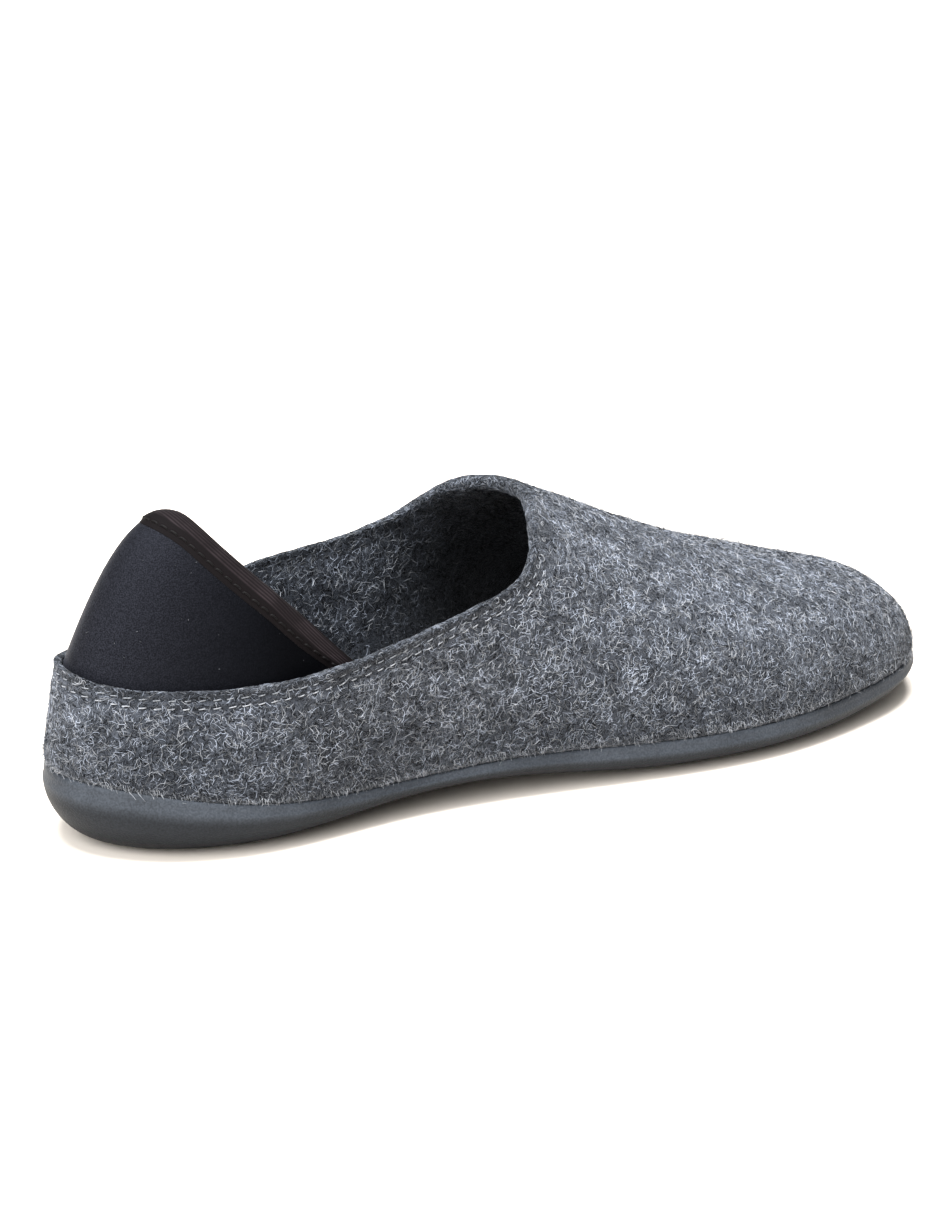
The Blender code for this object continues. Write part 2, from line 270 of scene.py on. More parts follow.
def loft(name, rings, wraps=False):
    """One closed mesh through rings of equal length, wrapped round or capped across at both ends."""
    rings = np.asarray(rings)
    rows, count = rings.shape[:2]
    index = np.arange(rows * count).reshape(rows, count)
    below = index if wraps else index[:-1]
    above = np.roll(index, -1, axis=0)[: len(below)]
    corners = [below, np.roll(below, -1, axis=1), np.roll(above, -1, axis=1), above]
    faces = [np.stack(corners, axis=-1).reshape(-1, 4)]
    if not wraps:
        half = np.arange(count // 2 - 1)
        cap = np.stack([half, count - 1 - half, count - 2 - half, half + 1], axis=1)
        faces += [cap, index[-1, 0] + cap[:, ::-1]]
    faces = np.concatenate(faces)
    points = rings.reshape(-1, 3)
    first, second, third = (points[faces[:, k]] for k in range(3))
    if np.sum(np.cross(first, second) * third) < 0:
        faces = faces[:, ::-1]
    return mesh_piece(name, points, faces.tolist())


def paint(piece, name, values):
    """Gives each point of a mesh a value that its material can read by name."""
    piece.data.attributes.new(name, "FLOAT", "POINT").data.foreach_set("value", np.ravel(values))


def add_node(tree, kind, inputs, **settings):
    """A shader node whose inputs are plain values or the sockets of other nodes."""
    made = tree.nodes.new(kind)
    for name, value in settings.items():
        setattr(made, name, value)
    for key, value in inputs.items():
        if isinstance(value, bpy.types.NodeSocket):
            tree.links.new(value, made.inputs[key])
        else:
            made.inputs[key].default_value = value
    return made


def noise(tree, scale, detail=2.0, distortion=0.0, where=None):
    """Soft noise from 0 to 1, scale being the bumps in a metre."""
    if where is None:
        where = add_node(tree, "ShaderNodeTexCoord", {}).outputs["Object"]
    inputs = {"Vector": where, "Scale": scale, "Detail": detail, "Distortion": distortion}
    return add_node(tree, "ShaderNodeTexNoise", inputs).outputs["Fac"]


def between(tree, value, low, high, to_low=0.0, to_high=1.0):
    """A value taken smoothly from one range to another."""
    inputs = {"Value": value, 1: low, 2: high, 3: to_low, 4: to_high}
    made = add_node(tree, "ShaderNodeMapRange", inputs, interpolation_type="SMOOTHSTEP")
    return made.outputs["Result"]


def maths(tree, operation, first, second=0.0):
    """The result of one operation on one or two values."""
    return add_node(tree, "ShaderNodeMath", {0: first, 1: second}, operation=operation).outputs[0]


def mixed(tree, amount, first, second, way="MIX"):
    """Two colours mixed by an amount. The node's sockets share names, so they are given by place."""
    inputs = {0: amount, 6: first, 7: second}
    made = add_node(tree, "ShaderNodeMix", inputs, data_type="RGBA", blend_type=way)
    return made.outputs[2]


def new_group(name, inputs, outputs):
    """A node group with named sockets, and its input and output nodes."""
    group = bpy.data.node_groups.new(name, "ShaderNodeTree")
    for socket_name, kind, value in inputs:
        socket = group.interface.new_socket(socket_name, in_out="INPUT", socket_type=kind)
        socket.default_value = value
    for socket_name, kind in outputs:
        group.interface.new_socket(socket_name, in_out="OUTPUT", socket_type=kind)
    taken = group.nodes.new("NodeGroupInput").outputs
    given = group.nodes.new("NodeGroupOutput").inputs
    return group, taken, given


def use_group(tree, group, inputs):
    """The outputs of a node group in a material, with its inputs set."""
    return add_node(tree, "ShaderNodeGroup", inputs, node_tree=group).outputs


def new_material(name, values):
    """A material and its Principled shader, with values that hold all over the surface."""
    material = bpy.data.materials.new(name)
    material.use_nodes = True
    shader = material.node_tree.nodes["Principled BSDF"]
    for socket, value in values.items():
        shader.inputs[socket].default_value = value
    return material, material.node_tree, shader.inputs


def painted(tree, name):
    """The value that a mesh carries at each point under a name."""
    return add_node(tree, "ShaderNodeAttribute", {}, attribute_name=name).outputs["Fac"]


def bumped(tree, height, depth, strength):
    """A surface normal pushed by a height, with its depth in millimetres."""
    inputs = {"Height": height, "Distance": depth * MM, "Strength": strength}
    return add_node(tree, "ShaderNodeBump", inputs).outputs["Normal"]


def dress(piece, material, slot, *nodes):
    """Gives a piece its material and body and hides the solids it stands for. The slot is not used."""
    piece.data.materials.append(material)
    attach(piece, "root")
    if nodes:
        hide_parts(*nodes)


# Fine grain: the close pitted surface of moulded rubber, foam cloth and tape, with soft cloudy tone
fine_grain, taken, given = new_group(
    "fine grain",
    [("Grain Scale", "NodeSocketFloat", 2500.0), ("Cloud Scale", "NodeSocketFloat", 60.0)],
    [("Height", "NodeSocketFloat"), ("Cloud", "NodeSocketFloat")],
)
pits = noise(fine_grain, taken["Grain Scale"], detail=3.0)
clouds = noise(fine_grain, taken["Cloud Scale"], detail=3.0, distortion=0.4)
fine_grain.links.new(pits, given["Height"])
fine_grain.links.new(clouds, given["Cloud"])

rubber, tree, shader = new_material("sole rubber", {"Specular IOR Level": 0.12})
grain = use_group(tree, fine_grain, {"Grain Scale": 1900.0, "Cloud Scale": 45.0})
top_edge = painted(tree, "top_edge")
# Dust in soft clouds, painted light up the side towards the top and a painted highlight on the top edge
dust_and_painted_light = between(tree, grain["Cloud"], *DUST_IN_CLOUDS)
painted_side_light = between(tree, top_edge, *PAINTED_LIGHT_DOWN_SIDE)
painted_edge_highlight = between(tree, top_edge, *PAINTED_HIGHLIGHT_ON_EDGE)
dust_and_painted_light = maths(tree, "MULTIPLY", dust_and_painted_light, maths(tree, "ADD", painted_side_light, painted_edge_highlight))
tone = mixed(tree, dust_and_painted_light, RUBBER_COLOUR, RUBBER_DUST_AND_HIGHLIGHT_COLOUR)
speckle = between(tree, grain["Height"], *RUBBER_SPECKLE)
tree.links.new(mixed(tree, 1.0, tone, speckle, "MULTIPLY"), shader["Base Color"])
tree.links.new(between(tree, grain["Cloud"], *RUBBER_ROUGHNESS), shader["Roughness"])
tree.links.new(bumped(tree, grain["Height"], depth=0.2, strength=0.8), shader["Normal"])

share = spread(POINTS_AROUND_SOLE)
side_rings = sole_rings(share, LIP_STEPS, UNDER_STEPS, LIP_DROP)
top_rings = narrowed(side_rings[0], TOP_NARROWING)
under_rings = narrowed(side_rings[-1], UNDER_NARROWING)
for ring in under_rings:
    ring[:, 2] = ground(ring[:, 0])
outsole = loft("outsole_rubber", [*top_rings, *side_rings, *under_rings])
top_count = len(top_rings) + LIP_STEPS + 1
# top_edge is 1 on the top and lip and fades to 0 as the side turns under; it places the painted light
fades = [np.ones(top_count), np.linspace(1, 0, UNDER_STEPS + 1), np.zeros(len(under_rings))]
paint(outsole, "top_edge", np.repeat(np.concatenate(fades), POINTS_AROUND_SOLE))
dress(outsole, rubber, "sole_rubber", "outsole")


# Footbed: a layer of pressed dark grey wool felt that lies on the sole inside the upper. It is cut
# to the last's outline, a little smaller than the felt wall, and its top edge is soft.
FELT_WALL = 3.2
FOOTBED_THICKNESS = 4.0
FOOTBED_CLEARANCE = 0.9
FOOTBED_DISH = 0.8
FOOTBED_UNDER = (0.05, 0.5, 0.9)
FOOTBED_COLOURS = {
    "Dark": (0.004, 0.0044, 0.0052, 1),
    "Mid": (0.012, 0.013, 0.015, 1),
    "Light": (0.034, 0.036, 0.04, 1),
}

# Steps up the edge, each with how far in and how high it is, then the shares of the width and of the
# dish at steps across the top
FOOTBED_EDGE_STEPS = ((0, GAP), (0, 2.6), (0.15, 3.2), (0.5, 3.7), (1.2, FOOTBED_THICKNESS))
FOOTBED_TOP_WIDTHS = (0.92, 0.8, 0.65, 0.5, 0.35, 0.2, 0.05)
FOOTBED_TOP_DIPS = (0.15, 0.4, 0.65, 0.85, 0.95, 1.0, 1.0)

# Wool mix: dark and grey fibres carded together, seen as short curling threads that cross each other,
# thicker in some patches than in others. Height is how far the threads stand up.
WOOL_DARK = (0.0028, 0.0031, 0.0041, 1)
WOOL_MID = (0.0143, 0.016, 0.02, 1)
WOOL_LIGHT = (0.077, 0.086, 0.104, 1)
FibreLayer = namedtuple("FibreLayer", "scale width tone")
FIBRE_LAYERS = [FibreLayer(520.0, 1.0, 0.9), FibreLayer(700.0, 1.0, 0.7), FibreLayer(900.0, 0.9, 1.0)]
FIBRE_TURN = (0.9, 0.5, 1.3)
FIBRE_HALF_WIDTH = 0.1
PATCH_SHARE = 0.6
PATCH_EDGES = Ramp(0.33, 0.67, 0.0, 1.0)
MID_IN_DEPTH = Ramp(0.3, 0.7, 0.0, 0.65)
MID_IN_PATCH = 0.4
LIGHT_IN_PATCH = Ramp(0.0, 1.0, 0.55, 1.0)
wool_mix, taken, given = new_group(
    "wool mix",
    [
        ("Dark", "NodeSocketColor", WOOL_DARK),
        ("Mid", "NodeSocketColor", WOOL_MID),
        ("Light", "NodeSocketColor", WOOL_LIGHT),
    ],
    [("Color", "NodeSocketColor"), ("Height", "NodeSocketFloat")],
)
broad = noise(wool_mix, scale=140.0, detail=3.0, distortion=0.6)
flecks = noise(wool_mix, scale=330.0, detail=2.0, distortion=1.2)
broad = maths(wool_mix, "MULTIPLY", broad, PATCH_SHARE)
flecks = maths(wool_mix, "MULTIPLY", flecks, 1 - PATCH_SHARE)
patch = between(wool_mix, maths(wool_mix, "ADD", broad, flecks), *PATCH_EDGES)
threads = None
for number, layer in enumerate(FIBRE_LAYERS):
    coordinates = add_node(wool_mix, "ShaderNodeTexCoord", {}).outputs["Object"]
    inputs = {"Vector": coordinates, "Rotation": [turn * number for turn in FIBRE_TURN]}
    turned = add_node(wool_mix, "ShaderNodeMapping", inputs).outputs["Vector"]
    field = noise(wool_mix, layer.scale, detail=1.0, distortion=1.4, where=turned)
    away = maths(wool_mix, "ABSOLUTE", maths(wool_mix, "SUBTRACT", field, 0.5))
    line = between(wool_mix, away, 0.0, FIBRE_HALF_WIDTH * layer.width, layer.tone, 0.0)
    threads = line if threads is None else maths(wool_mix, "MAXIMUM", threads, line)
depth = noise(wool_mix, scale=1300.0, detail=2.0, distortion=0.5)
mid_share = between(wool_mix, depth, *MID_IN_DEPTH)
mid_share = maths(wool_mix, "ADD", mid_share, maths(wool_mix, "MULTIPLY", patch, MID_IN_PATCH))
base = mixed(wool_mix, mid_share, taken["Dark"], taken["Mid"])
light_share = maths(wool_mix, "MULTIPLY", threads, between(wool_mix, patch, *LIGHT_IN_PATCH))
wool_mix.links.new(mixed(wool_mix, light_share, base, taken["Light"]), given["Color"])
wool_mix.links.new(maths(wool_mix, "ADD", threads, depth), given["Height"])

footbed_felt, tree, shader = new_material(
    "footbed felt", {"Roughness": 0.95, "Specular IOR Level": 0.05}
)
wool = use_group(tree, wool_mix, FOOTBED_COLOURS)
tree.links.new(wool["Color"], shader["Base Color"])
tree.links.new(bumped(tree, wool["Height"], depth=0.25, strength=0.7), shader["Normal"])

footbed_edge = FELT_WALL + FOOTBED_CLEARANCE
rings = []
for inset, lift in FOOTBED_EDGE_STEPS:
    ring = sole_line(share) - sideways(share) * (footbed_edge + inset)
    ring[:, 2] += lift
    rings.append(ring)
tops = narrowed(rings[-1], FOOTBED_TOP_WIDTHS)
for dip, ring in zip(FOOTBED_TOP_DIPS, tops):
    ring[:, 2] -= dip * FOOTBED_DISH
footbed = loft("footbed_felt", narrowed(rings[0], FOOTBED_UNDER) + rings + tops)
dress(footbed, footbed_felt, "footbed_felt", "insole")


# Upper: one piece of thick mottled wool felt, shaped over the last with no toe seam and cut raw at
# the collar. It is a single wall of about 3 mm, lasted under and glued to the sole.
FELT_EDGE = 2.1
FELT_TUCK = 0.6
FELT_TUCK_HEIGHT = 0.12
PRESSED_FROM = 0.75
SIDE_BULGE = 0.2
RIM_HEIGHT = (0.35, 1.4)
RIM_SQUARENESS = (0.55, 0.95)
POINTS_AROUND_FELT = 440
OUTSIDE_ROWS = 84
RIM_ROWS = 9
INSIDE_ROWS = 44
STITCH_ROWS = (1.7, 3.8)
STITCH_TROUGH = 0.35
STITCH_TROUGH_WIDTH = 0.7
STITCH_TROUGH_INSIDE = 0.7
THROAT_ROLL = 0.8
THROAT_ROLL_WIDTH = 4.0
THROAT_ROLL_OVER_RIM = (0.1, 0.9)
HEM_ROLL = (0.3, 0.9)
HEM_ROLL_START = 0.5
HEM_ROLL_WIDTH = 5.0
EDGE_TONE = 0.56
EDGE_FADE = (0.3, 2.4)
# Painted shade darkens the inside towards the toe, the hem by the sole and the sewn grooves
INSIDE_PAINTED_SHADES = (1.0, 0.03)
INSIDE_FADE = (98.0, 146.0)
HEM_PAINTED_SHADE = 0.64
HEM_FADE = 25.0
SEWN_GROOVE_PAINTED_SHADE = 0.6

# Side view of the vamp from the toe tip to the collar, as shares of its run and of its rise
VampStep = namedtuple("VampStep", "along run rise")
VAMP = [
    VampStep(0.0, 0.0, 0.0),
    VampStep(0.15, 0.01, 0.13),
    VampStep(0.3, 0.07, 0.26),
    VampStep(0.45, 0.15, 0.35),
    VampStep(0.6, 0.31, 0.45),
    VampStep(0.8, 0.62, 0.66),
    VampStep(1.0, 1.0, 1.0),
]

# Unevenness of hand-worked felt: the size of its bumps, how far they stand and a seed for each
FeltBump = namedtuple("FeltBump", "size height seed")
FELT_BUMPS = [FeltBump(24.0, 0.3, 1), FeltBump(7.0, 0.16, 2), FeltBump(3.2, 0.14, 3)]
LATTICE_SIZE = 32

COLLAR_ROWS = round_the_shoe(
    (HEEL.collar_x, 0, HEEL.outer_z),
    [(s.collar_x, -s.collar_outer, s.outer_z) for s in BETWEEN],
    (TOE.collar_x, 0, TOE.outer_z),
    [(s.collar_x, s.collar_inner, s.inner_z) for s in BETWEEN],
)
ROOF_ROWS = round_the_shoe(
    (HEEL.roof,), [(s.roof,) for s in BETWEEN], (TOE.roof,), [(s.roof,) for s in BETWEEN]
)
collar_line = closed_spline(KNOTS, COLLAR_ROWS)
roof_share = closed_spline(KNOTS, ROOF_ROWS)


def smooth_through(places, values, at):
    """Values between the rows of a short table, without corners at the rows."""
    slopes = np.gradient(values, places)
    i = np.clip(np.searchsorted(places, at, side="right") - 1, 0, len(places) - 2)
    step = places[i + 1] - places[i]
    u = (at - places[i]) / step
    start = (1 + 2 * u) * (1 - u) ** 2 * values[i] + u * (1 - u) ** 2 * step * slopes[i]
    end = u**2 * (3 - 2 * u) * values[i + 1] - u**2 * (1 - u) * step * slopes[i + 1]
    return start + end


def felt_outside(share, height):
    """Points on the outside of the felt, height running from 0 at the sole to 1 at the collar."""
    low = sole_line(share)
    high = collar_line(share)
    roof = np.clip(roof_share(share)[:, 0], 0, 1)
    vamp = np.array(VAMP)
    run = blend((height, smooth_through(vamp[:, 0], vamp[:, 1], height)), roof)
    rise = blend((height, smooth_through(vamp[:, 0], vamp[:, 2], height)), roof)
    bulge = SIDE_BULGE * (1 - roof) * np.sin(np.pi * height)
    tuck = FELT_TUCK * (1 - (1 - np.clip(height / FELT_TUCK_HEIGHT, 0, 1)) ** 2) * (1 - height)
    amount = np.stack([run, run, rise], axis=1)
    return low + (high - low) * amount + sideways(share) * (bulge + tuck)[:, None]


def felt_normal(share, height):
    """The direction out of the felt at each of those points."""
    small = 2e-4
    above = felt_outside(share, np.minimum(height + small, 1))
    up = above - felt_outside(share, np.maximum(height - small, 0))
    along = felt_outside(share + small, height) - felt_outside(share - small, height)
    return unit(np.cross(along, up))


def inside_felt(share, height, depth):
    """Points at a depth below the outside of the felt."""
    depth = np.broadcast_to(depth, share.shape)[:, None]
    return felt_outside(share, height) - felt_normal(share, height) * depth


def wall(share, height):
    """Thickness of the felt, pressed thinner at the collar by its stitches but full at the throat."""
    throat = np.clip(roof_share(share)[:, 0], 0, 1)
    edge = blend((FELT_EDGE, FELT_WALL), throat)
    return blend((FELT_WALL, edge), ease(PRESSED_FROM, 1, height))


def soft_noise(points, size, seed):
    """Smooth random heights from -1 to 1 with about one bump in each size."""
    lattice = np.random.default_rng(seed).uniform(-1, 1, [LATTICE_SIZE] * 3)
    cell = np.floor(points / size).astype(int)
    u = points / size - cell
    u = u * u * (3 - 2 * u)
    total = np.zeros(points.shape[:-1])
    for corner in np.ndindex(2, 2, 2):
        weight = np.prod(np.where(corner, u, 1 - u), axis=-1)
        i, j, k = np.moveaxis((cell + corner) % LATTICE_SIZE, -1, 0)
        total += weight * lattice[i, j, k]
    return total


def grid_normals(grid):
    """Outward directions of a grid that runs round the shoe and wraps over its rim."""
    along = np.roll(grid, -1, axis=1) - np.roll(grid, 1, axis=1)
    up = np.roll(grid, -1, axis=0) - np.roll(grid, 1, axis=0)
    return unit(np.cross(along, up))


share = spread(POINTS_AROUND_FELT)
outside = [felt_outside(share, np.full_like(share, h)) for h in np.linspace(0, 1, OUTSIDE_ROWS)]
inside = [
    inside_felt(share, np.full_like(share, h), wall(share, h)) for h in np.linspace(1, 0, INSIDE_ROWS)
]
inside[-1][:, 2] = outside[0][:, 2]
upward = unit(outside[-1] - outside[-3])
throat = np.clip(roof_share(share), 0, 1)
squareness = blend(RIM_SQUARENESS, throat)
height = blend(RIM_HEIGHT, throat)
rim = []
for turn in np.linspace(0, np.pi, RIM_ROWS + 2)[1:-1]:
    reach = np.sign(np.cos(turn)) * np.abs(np.cos(turn)) ** squareness
    rise = np.sin(turn) ** squareness * height
    middle = (outside[-1] + inside[0]) / 2
    rim.append(middle + (outside[-1] - inside[0]) / 2 * reach + upward * rise)
felt_grid = np.array(outside + rim + inside)

from_rim = np.zeros(felt_grid.shape[:2])
steps = np.linalg.norm(np.diff(felt_grid, axis=0), axis=2)
inside_from = OUTSIDE_ROWS + RIM_ROWS
from_rim[: OUTSIDE_ROWS - 1] = np.cumsum(steps[: OUTSIDE_ROWS - 1][::-1], axis=0)[::-1]
from_rim[inside_from + 1 :] = np.cumsum(steps[inside_from:], axis=0)
relief = sum(bump.height * soft_noise(felt_grid, bump.size, bump.seed) for bump in FELT_BUMPS)
sewn = np.zeros_like(from_rim)
for distance in STITCH_ROWS:
    sewn = np.maximum(sewn, np.exp(-(((from_rim - distance) / STITCH_TROUGH_WIDTH) ** 2)))
sewn[inside_from:] *= STITCH_TROUGH_INSIDE
relief -= STITCH_TROUGH * sewn

# The edge swells into a soft roll round the throat, and the felt bulges over the lip of the sole
rolled = THROAT_ROLL * throat[:, 0]
relief[inside_from:] += rolled * np.exp(-((from_rim[inside_from:] / THROAT_ROLL_WIDTH) ** 2))
relief[OUTSIDE_ROWS:inside_from] += rolled * np.linspace(*THROAT_ROLL_OVER_RIM, RIM_ROWS)[:, None]
from_sole = np.cumsum(steps[: OUTSIDE_ROWS - 1], axis=0)
hem = blend(HEM_ROLL, ease(*HEEL_TO_FORE, sole_line(share)[:, 0]))
hem = hem * (1 - np.exp(-from_sole / HEM_ROLL_START))
relief[1:OUTSIDE_ROWS] += hem * np.exp(-((from_sole / HEM_ROLL_WIDTH) ** 2))
relief[0] = 0
relief[-1] = 0
felt_grid += grid_normals(felt_grid) * relief[..., None]
felt_grid[[0, -1], :, 2] -= GAP

# The cut edge is darker than the face of the felt, and painted shade darkens the hem by the sole, the
# sewn grooves and the inside towards the toe
face_share = ease(*EDGE_FADE, from_rim)
felt_tone_and_painted_shade = blend((EDGE_TONE, 1), face_share)
felt_tone_and_painted_shade[OUTSIDE_ROWS:inside_from] = EDGE_TONE
felt_tone_and_painted_shade[0] *= HEM_PAINTED_SHADE
felt_tone_and_painted_shade[1:OUTSIDE_ROWS] *= blend((HEM_PAINTED_SHADE, 1), ease(0.0, HEM_FADE, from_sole))
inside_painted_shade = blend(INSIDE_PAINTED_SHADES, ease(*INSIDE_FADE, felt_grid[inside_from:, :, 0]))
felt_tone_and_painted_shade[inside_from:] = blend((EDGE_TONE, inside_painted_shade), face_share[inside_from:])
felt_tone_and_painted_shade *= 1 - (1 - SEWN_GROOVE_PAINTED_SHADE) * sewn

felt, tree, shader = new_material(
    "upper felt",
    {
        "Roughness": 0.92,
        "Specular IOR Level": 0.12,
        "Sheen Weight": 0.25,
        "Sheen Roughness": 0.45,
        "Sheen Tint": (0.72, 0.77, 0.85, 1),
    },
)
wool = use_group(tree, wool_mix, {})
# The tone is the cut edge's darker felt with painted shade at the hem, in the sewn grooves and inside
tone = mixed(tree, 1.0, wool["Color"], painted(tree, "tone"), "MULTIPLY")
tree.links.new(tone, shader["Base Color"])
tree.links.new(bumped(tree, wool["Height"], depth=0.3, strength=0.8), shader["Normal"])

upper = loft("upper_felt", felt_grid, wraps=True)
paint(upper, "tone", felt_tone_and_painted_shade)
dress(upper, felt, "upper_felt", "upper")


# Loose wool: short carded fibres that lie over the felt and dip into it, with a few that stand off
# as fuzz, fray over the sole's edge or curl up at the collar. They are the wool of the felt itself.
Wool = namedtuple("Wool", "name count width colour gathers seed")
WOOLS = [
    Wool("wool_pale", 33000, 0.112, (0.31, 0.341, 0.401, 1), 0.7, 11),
    Wool("wool_grey", 32000, 0.112, (0.041, 0.046, 0.0565, 1), 0.0, 12),
    Wool("wool_dark", 29000, 0.125, (0.0025, 0.0029, 0.004, 1), -0.8, 13),
]
WOOL_SHADES = (0.72, 1.25)
TUFT_SIZES = (6.0, 2.6)
TUFT_SEED = 41
LEAST_WOOL = 0.15
SEWN_BARE = 0.85
INSIDE_BARE = 0.8
INSIDE_BARE_FADE = (12.0, 40.0)
LENGTH_SPREAD = 0.35
FIBRE_TAPER = 0.6
FIBRE_WIDTHS = (0.6, 1.4)
LYING_LENGTH = 2.5
LYING_STEPS = 3
LYING_CURL = 0.75
LYING_LEAN = 0.8
LYING_ARCH = 0.12
LYING_ARCHES = (0.2, 1.2)
LYING_SUNK = 0.06
LYING_TILT = 0.5
RIM_WOOL = 2.2
FUZZ_COUNT = 25000
FUZZ_LENGTH = 2.2
FUZZ_STEPS = 2
FUZZ_WIDTH = 0.13
FUZZ_STAND = (0.12, 1.7)
FUZZ_COLOUR = (0.25, 0.262, 0.282, 1)
FUZZ_SHADES = (0.4, 1.3)
FUZZ_SEED = 14
RIM_FUZZ_FROM = (0.5, 5.0)
FRAY_COUNT = 2500
FRAY_LENGTH = 1.9
FRAY_LENGTHS = (0.5, 1.1)
FRAY_RADIUS = 0.04
FRAY_HEIGHTS = (0.01, 0.06)
FRAY_ASKEW = 1.3
FRAY_BEND = (0.5, 0.5)
FRAY_END = (0.15, 0.6)
FRAY_DROP = (0, 0, 0.4)
CURL_COUNT = 75
CURL_LENGTH = 6.0
CURL_LENGTHS = (0.5, 1.2)
CURL_STEPS = 10
CURL_RADIUS = 0.07
CURL_TURNS = (2.0, 6.0)
CURL_AT_COLLAR = 0.99
CURL_AT_SOLE = 0.04
CURL_RISE = 0.1

# Soft shade: one colour made lighter and darker in soft patches, as wool, thread, lint and paper are.
# Tone dims it all, and Height is the patches themselves, for the twist of a thread.
SHADE_EDGES = (0.3, 0.7)
soft_shade, taken, given = new_group(
    "soft shade",
    [
        ("Color", "NodeSocketColor", (1, 1, 1, 1)),
        ("Scale", "NodeSocketFloat", 300.0),
        ("Darkest", "NodeSocketFloat", 0.6),
        ("Lightest", "NodeSocketFloat", 1.2),
        ("Tone", "NodeSocketFloat", 1.0),
    ],
    [("Color", "NodeSocketColor"), ("Height", "NodeSocketFloat")],
)
patches = noise(soft_shade, taken["Scale"])
shade = between(soft_shade, patches, *SHADE_EDGES, taken["Darkest"], taken["Lightest"])
shade = maths(soft_shade, "MULTIPLY", shade, taken["Tone"])
soft_shade.links.new(mixed(soft_shade, 1.0, taken["Color"], shade, "MULTIPLY"), given["Color"])
soft_shade.links.new(patches, given["Height"])


def shaded_material(name, colour, shades, scale, roughness, shine, toned=False, twisted=False):
    """One colour in soft shades, dimmed by its mesh's tone and painted shade, or bumped as twisted
    thread.
    """
    material, tree, shader = new_material(name, {"Roughness": roughness, "Specular IOR Level": shine})
    inputs = {"Color": colour, "Scale": scale, "Darkest": shades[0], "Lightest": shades[1]}
    if toned:
        inputs["Tone"] = painted(tree, "tone")
    shade = use_group(tree, soft_shade, inputs)
    tree.links.new(shade["Color"], shader["Base Color"])
    if twisted:
        tree.links.new(bumped(tree, shade["Height"], depth=0.1, strength=0.6), shader["Normal"])
    return material


def tube_piece(name, paths, radius, sides):
    """Closed thin tubes of one radius along paths.

    Each is framed from straight up, or from the shoe's length where its path starts out steep.
    """
    count, steps = paths.shape[:2]
    steep = 0.8
    along = unit(np.gradient(paths, axis=1))
    upright = np.abs(along[:, :1, 2:]) >= steep
    helper = np.where(upright, [1.0, 0.0, 0.0], [0.0, 0.0, 1.0])
    across = unit(np.cross(along, np.broadcast_to(helper, along.shape)))
    other = np.cross(along, across)
    turn = np.arange(sides) * 2 * np.pi / sides
    circle = np.cos(turn)[:, None] * across[:, :, None] + np.sin(turn)[:, None] * other[:, :, None]
    points = paths[:, :, None] + circle * radius
    index = np.arange(count * steps * sides).reshape(count, steps, sides)
    first = index[:, :-1]
    second = index[:, 1:]
    corners = [first, np.roll(first, -1, axis=2), np.roll(second, -1, axis=2), second]
    quads = np.stack(corners, axis=-1).reshape(-1, 4)
    caps = np.concatenate([index[:, 0, ::-1], index[:, -1]])
    return mesh_piece(name, points, quads.tolist() + caps.tolist())


def ribbon_piece(name, paths, aside, width):
    """Flat thin fibres along paths, narrower at both ends and lying across the directions aside."""
    count, steps = paths.shape[:2]
    narrow = 1 - FIBRE_TAPER * np.abs(np.linspace(-1, 1, steps))
    reach = aside * (narrow * width[:, None])[..., None] / 2
    points = np.stack([paths - reach, paths + reach], axis=2)
    index = np.arange(count * steps * 2).reshape(count, steps, 2)
    corners = [index[:, :-1, 0], index[:, :-1, 1], index[:, 1:, 1], index[:, 1:, 0]]
    return mesh_piece(name, points, np.stack(corners, axis=-1).reshape(-1, 4).tolist())


felt_points = felt_grid.reshape(-1, 3)
felt_faces = [list(face.vertices) for face in upper.data.polygons]
felt_tree = BVHTree.FromPolygons(felt_points.tolist(), felt_faces)


def onto_felt(points):
    """The nearest points of the felt and the directions out of it there."""
    found = [felt_tree.find_nearest(point)[:2] for point in points.tolist()]
    return np.array([place for place, _ in found]), np.array([out for _, out in found])


cell = felt_grid[:-1]
cell_side = np.roll(cell, -1, axis=1) - cell
cell_rise = felt_grid[1:] - cell
cell_up = unit(cell_rise).reshape(-1, 3)
cell_share = np.linalg.norm(np.cross(cell_side, cell_rise), axis=2)
cell_share *= 1 - SEWN_BARE * sewn[:-1]
cell_share[inside_from:] *= 1 - INSIDE_BARE * ease(*INSIDE_BARE_FADE, from_rim[inside_from:-1])
cell_share[OUTSIDE_ROWS:inside_from] *= RIM_WOOL
cell_share = cell_share.ravel()
cell_tone_and_painted_shade = felt_tone_and_painted_shade[:-1].ravel()
tufts = sum(soft_noise(cell, size, seed) for seed, size in enumerate(TUFT_SIZES, TUFT_SEED)).ravel()


def wool_paths(count, length, steps, random, gathers=0.0):
    """Short curling paths over the felt, the directions out of it there and the cells they start in."""
    weight = cell_share * np.clip(1 + gathers * tufts, LEAST_WOOL, None)
    chosen = random.choice(len(weight), count, p=weight / weight.sum())
    u, v = random.random((2, count, 1))
    place = cell.reshape(-1, 3)[chosen]
    place = place + cell_side.reshape(-1, 3)[chosen] * u + cell_rise.reshape(-1, 3)[chosen] * v
    place, out = onto_felt(place)
    heading = unit(np.cross(out, random.normal(size=(count, 3))))
    heading = unit(heading + cell_up[chosen] * random.choice([-LYING_LEAN, LYING_LEAN], (count, 1)))
    step = length * random.lognormal(0, LENGTH_SPREAD, count) / steps
    turn = random.normal(0, LYING_CURL, count) * step
    places = [place]
    outs = [out]
    for _ in range(steps):
        sideward = np.cross(out, heading)
        heading = heading * np.cos(turn)[:, None] + sideward * np.sin(turn)[:, None]
        place, out = onto_felt(place + heading * step[:, None])
        heading = unit(heading - out * np.sum(heading * out, axis=1)[:, None])
        places.append(place)
        outs.append(out)
    return np.stack(places, axis=1), np.stack(outs, axis=1), chosen


